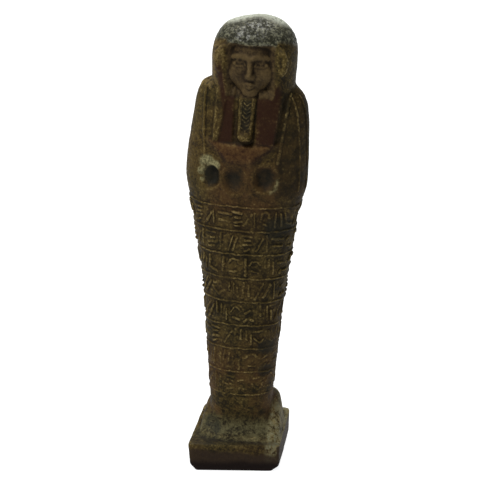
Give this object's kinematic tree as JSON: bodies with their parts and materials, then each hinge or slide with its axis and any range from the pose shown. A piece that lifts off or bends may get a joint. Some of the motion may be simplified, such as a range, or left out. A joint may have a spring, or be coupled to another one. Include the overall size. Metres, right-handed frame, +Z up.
{
  "type": "ushabti figurine",
  "caption": "Standing mummy-shaped funerary figurine with a bag wig, plaited beard, crossed arms, banded inscription rows, back pillar and low plinth.",
  "frame": {"origin": "middle of the plinth's underside, on the surface it stands on", "axes": "+Z up through the crown, -Y out of the face, +X to the figure's left"},
  "size_m": [0.0513, 0.0451, 0.2],
  "materials": {
    "dark_composition": "dull, worn and soil-stained, with paler ridges"
  },
  "bodies": {
    "root": {"ushabti_figurine": "dark_composition"}
  },
  "joints": []
}
